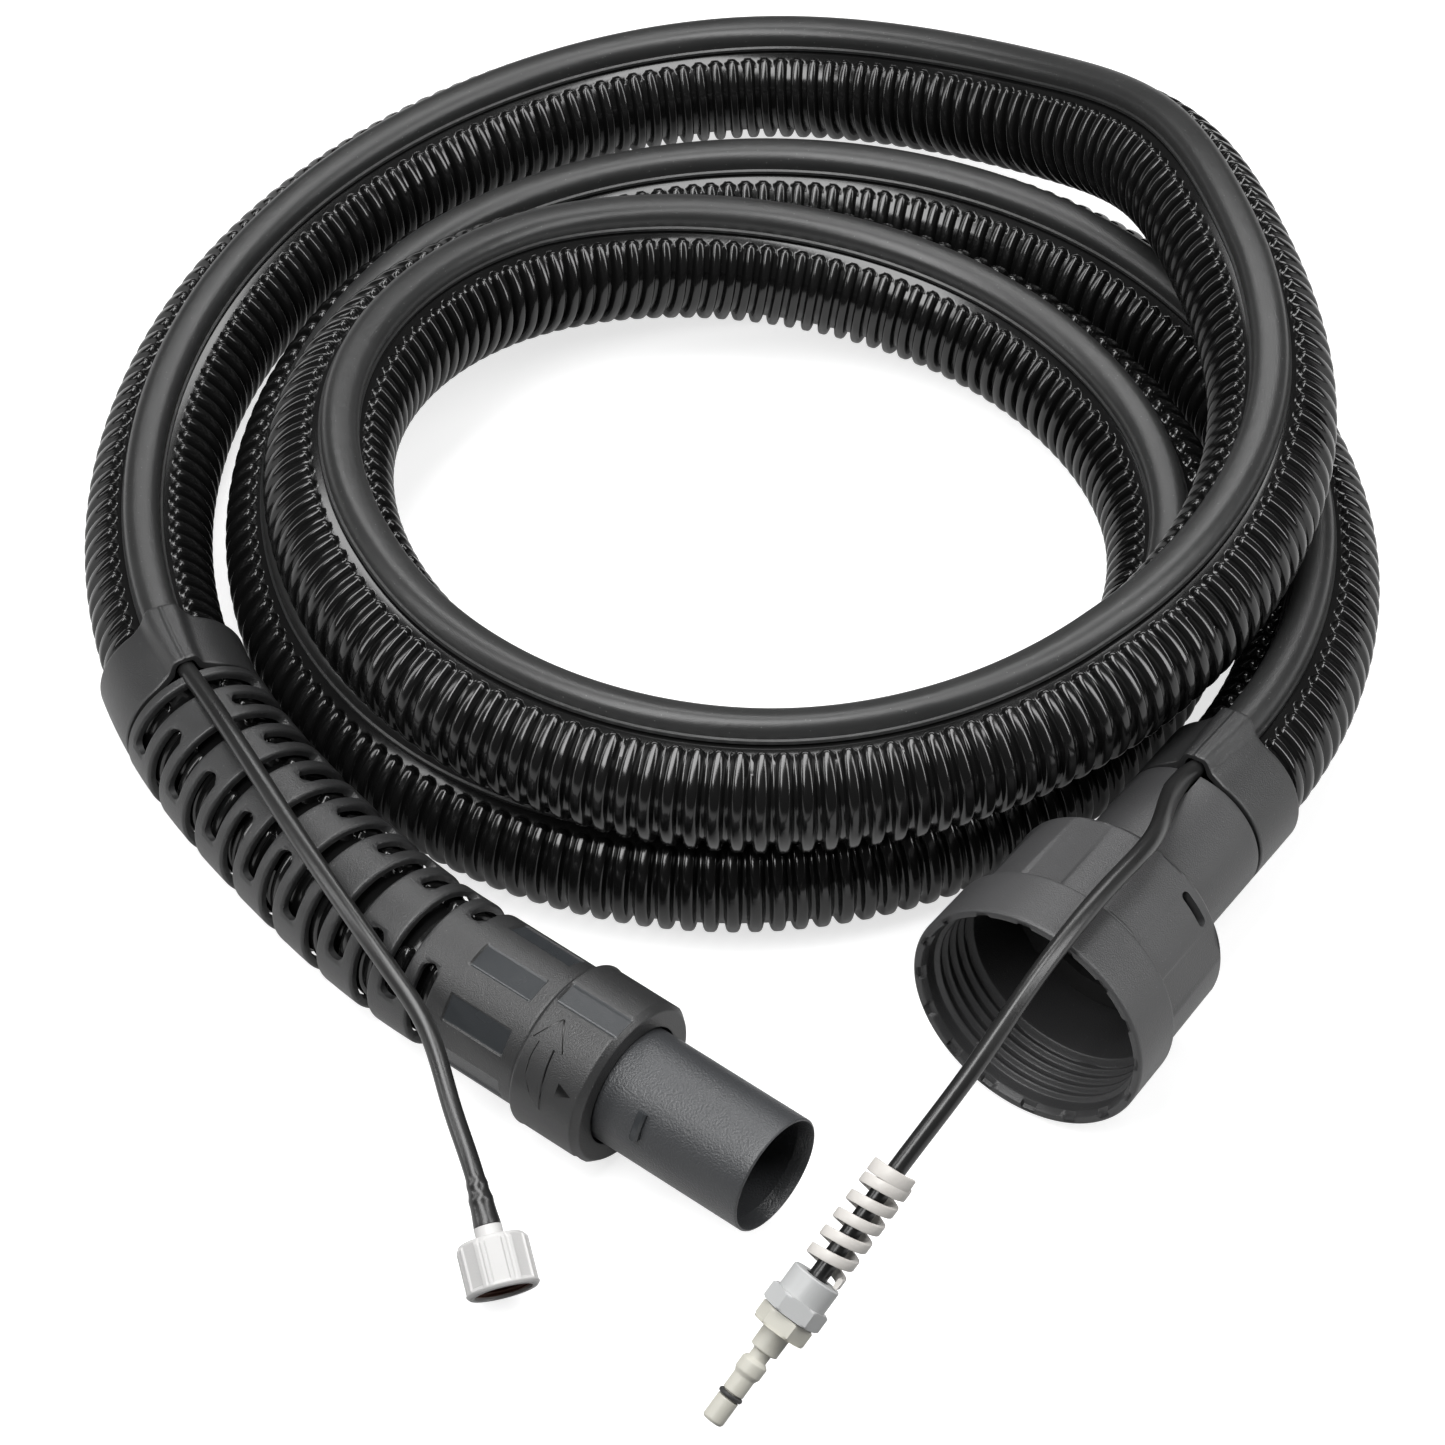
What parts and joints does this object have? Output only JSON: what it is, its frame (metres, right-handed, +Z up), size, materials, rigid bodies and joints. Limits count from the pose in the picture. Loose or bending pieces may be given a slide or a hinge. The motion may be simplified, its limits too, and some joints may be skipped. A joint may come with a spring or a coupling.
{
  "type": "vacuum hose",
  "caption": "Coiled ribbed suction hose with a built-in spray line, a slotted bend sleeve, a turning spigot with lock ring and a large screwed coupling nut.",
  "frame": {"origin": "on the floor, under the middle of the footprint of the hose as it lies coiled", "axes": "+Z is up; the wand end and the machine end lie side by side on the -Y side, wand end at -X, machine end at +X"},
  "size_m": [0.4124, 0.5715, 0.0951],
  "materials": {
    "hose": "near-black gloss PVC with fine ribs",
    "channel": "dark grey-black satin extrusion",
    "line": "black semi-gloss tube",
    "moulding": "dark grey-black satin moulding with a fine grain",
    "seal": "matt black rubber",
    "bearing": "natural grey low-friction ring",
    "white_fitting": "white moulded plastic",
    "washer": "brown fibre washer",
    "coil": "warm white plastic",
    "grey_fitting": "cool light grey plastic",
    "beige_fitting": "warm beige-grey plastic"
  },
  "bodies": {
    "hose": {"suction_hose": "hose", "line_channel": "channel", "spray_line": "line", "wand_channel_collar": "moulding", "machine_channel_collar": "moulding", "bend_sleeve": "moulding", "wand_hose_nipple": "moulding", "spigot_seal": "seal", "swivel_bearing_ring": "bearing", "coupling_neck": "moulding", "machine_hose_nipple": "moulding", "nut_thrust_ring": "bearing", "coupling_seal": "seal"},
    "wand_spigot": {"wand_spigot": "moulding"},
    "lock_ring": {"lock_ring": "moulding"},
    "coupling_nut": {"coupling_nut": "moulding"},
    "wand_line": {"wand_line_tail": "line", "wand_line_tailpiece": "white_fitting", "wand_line_washer": "washer"},
    "wand_line_nut": {"wand_line_nut": "white_fitting"},
    "machine_line": {"machine_line_tail": "line", "bend_coil": "coil", "clamp_olive": "grey_fitting", "plug_nipple": "beige_fitting", "plug_o_ring": "seal"},
    "compression_nut": {"compression_nut": "grey_fitting"}
  },
  "joints": [
    {"name": "spigot_swivel", "type": "hinge", "parent": "hose", "child": "wand_spigot", "pos_m": [-0.0491, -0.16375, 0.0272], "axis": [0.7826, -0.6225, 0], "continuous": true},
    {"name": "lock_ring_turn", "type": "hinge", "parent": "hose", "child": "lock_ring", "pos_m": [-0.0491, -0.16375, 0.0272], "axis": [0.7826, -0.6225, 0], "range_deg": [0, 45]},
    {"name": "coupling_nut_spin", "type": "hinge", "parent": "hose", "child": "coupling_nut", "pos_m": [0.0873, -0.16545, 0.0404], "axis": [-0.5578, -0.8269, 0.0715], "continuous": true},
    {"name": "wand_line_flex", "type": "hinge", "parent": "hose", "child": "wand_line", "pos_m": [-0.16491, -0.03522, 0.04738], "axis": [-0.9026, -0.4305, 0], "range_deg": [0, 35]},
    {"name": "wand_line_nut_spin", "type": "hinge", "parent": "wand_line", "child": "wand_line_nut", "pos_m": [-0.0653, -0.24295, 0.0101], "axis": [0.248, -0.8647, -0.4368], "continuous": true},
    {"name": "machine_line_flex", "type": "hinge", "parent": "hose", "child": "machine_line", "pos_m": [0.13863, -0.08391, 0.05656], "axis": [-0.8238, 0.5669, 0], "range_deg": [0, 40]},
    {"name": "compression_nut_turn", "type": "hinge", "parent": "machine_line", "child": "compression_nut", "pos_m": [0.0141, -0.26495, 0.0222], "axis": [-0.59, -0.5697, -0.5721], "continuous": true}
  ]
}
